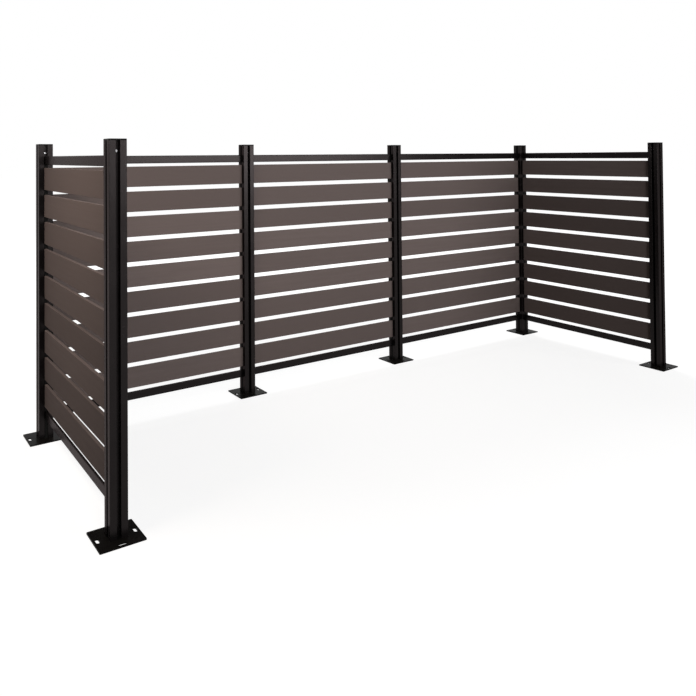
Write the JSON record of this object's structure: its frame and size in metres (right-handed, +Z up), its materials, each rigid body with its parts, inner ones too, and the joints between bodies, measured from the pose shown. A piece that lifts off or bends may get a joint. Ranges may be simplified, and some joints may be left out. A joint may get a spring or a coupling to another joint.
{
  "type": "bin screen",
  "caption": "Free-standing slatted screen for wheeled bins: slotted square posts on base plates hold horizontal boards and rails on the back and both sides, with the front open.",
  "frame": {"origin": "on the floor, in the middle of the screen's plan", "axes": "+X along the back from left to right as seen from the open front, +Y from the open front to the back, +Z up"},
  "size_m": [3.05, 1.07, 1.2],
  "materials": {
    "post_coat": "satin",
    "rail_coat": "satin",
    "plate_coat": "gloss",
    "cap_plastic": "satin",
    "slat_board": "matte",
    "spacer_plastic": "matte",
    "screw_steel": "satin"
  },
  "bodies": {
    "root": {"post_front_left": "post_coat", "base_plate_front_left": "plate_coat", "post_cap_front_left": "cap_plastic", "cap_screws_front_left": "screw_steel", "base_screws_front_left": "screw_steel", "post_back_left": "post_coat", "base_plate_back_left": "plate_coat", "post_cap_back_left": "cap_plastic", "cap_screws_back_left": "screw_steel", "base_screws_back_left": "screw_steel", "post_back_inner_left": "post_coat", "base_plate_back_inner_left": "plate_coat", "post_cap_back_inner_left": "cap_plastic", "cap_screws_back_inner_left": "screw_steel", "base_screws_back_inner_left": "screw_steel", "post_back_inner_right": "post_coat", "base_plate_back_inner_right": "plate_coat", "post_cap_back_inner_right": "cap_plastic", "cap_screws_back_inner_right": "screw_steel", "base_screws_back_inner_right": "screw_steel", "post_back_right": "post_coat", "base_plate_back_right": "plate_coat", "post_cap_back_right": "cap_plastic", "cap_screws_back_right": "screw_steel", "base_screws_back_right": "screw_steel", "post_front_right": "post_coat", "base_plate_front_right": "plate_coat", "post_cap_front_right": "cap_plastic", "cap_screws_front_right": "screw_steel", "base_screws_front_right": "screw_steel", "left_top_rail": "rail_coat", "left_bottom_rail": "rail_coat", "left_slats": "slat_board", "left_spacers": "spacer_plastic", "left_foot_spacers": "spacer_plastic", "back_left_top_rail": "rail_coat", "back_left_bottom_rail": "rail_coat", "back_left_slats": "slat_board", "back_left_spacers": "spacer_plastic", "back_left_foot_spacers": "spacer_plastic", "back_middle_top_rail": "rail_coat", "back_middle_bottom_rail": "rail_coat", "back_middle_slats": "slat_board", "back_middle_spacers": "spacer_plastic", "back_middle_foot_spacers": "spacer_plastic", "back_right_top_rail": "rail_coat", "back_right_bottom_rail": "rail_coat", "back_right_slats": "slat_board", "back_right_spacers": "spacer_plastic", "back_right_foot_spacers": "spacer_plastic", "right_top_rail": "rail_coat", "right_bottom_rail": "rail_coat", "right_slats": "slat_board", "right_spacers": "spacer_plastic", "right_foot_spacers": "spacer_plastic"}
  },
  "joints": []
}
